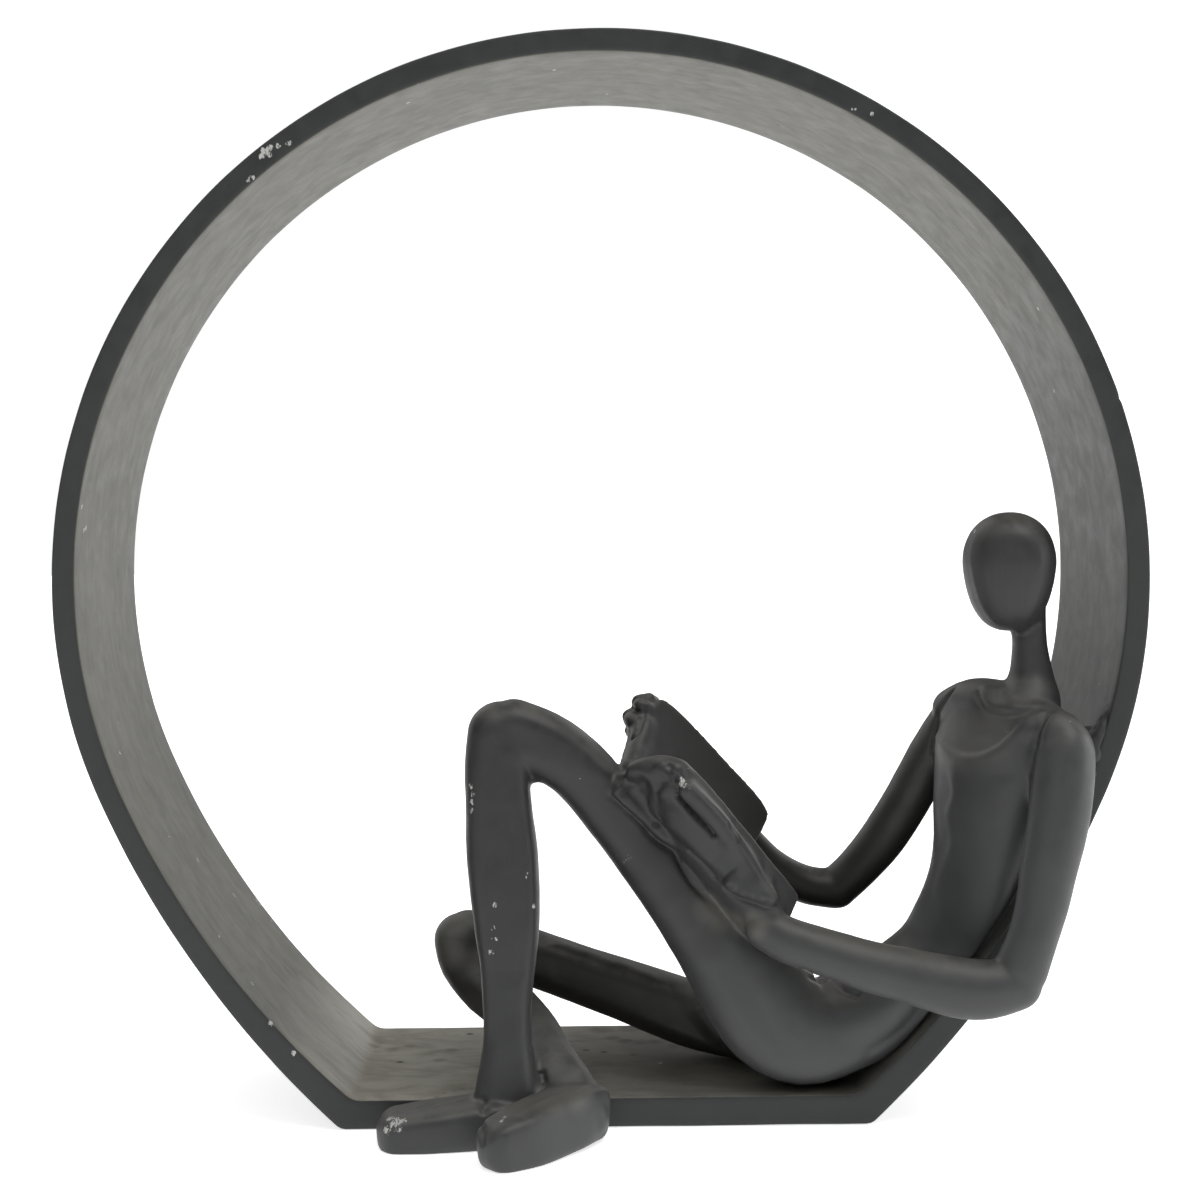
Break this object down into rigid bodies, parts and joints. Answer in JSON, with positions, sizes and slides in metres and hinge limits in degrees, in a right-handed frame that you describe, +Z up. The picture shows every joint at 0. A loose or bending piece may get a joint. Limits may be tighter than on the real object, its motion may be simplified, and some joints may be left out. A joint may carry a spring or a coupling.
{
  "type": "resin reading figure sculpture",
  "caption": "Desktop sculpture of a faceless seated reader holding an open book, leaning inside a flat-bottomed ring frame.",
  "frame": {"origin": "on the ground, under the middle of the ring's flat base", "axes": "+X to the right seen from the front, +Y away from the viewer along the ring's depth, +Z up. The reader's feet stick out past the ring's front, towards -Y"},
  "size_m": [0.265, 0.105, 0.2652],
  "materials": {
    "ring_paint": "matte graphite paint on cast resin, with small white chips",
    "figure_paint": "matte graphite paint on cast resin, worn on the knee, shin and toes"
  },
  "bodies": {
    "root": {"ring_frame": "ring_paint", "reading_figure": "figure_paint"}
  },
  "joints": []
}
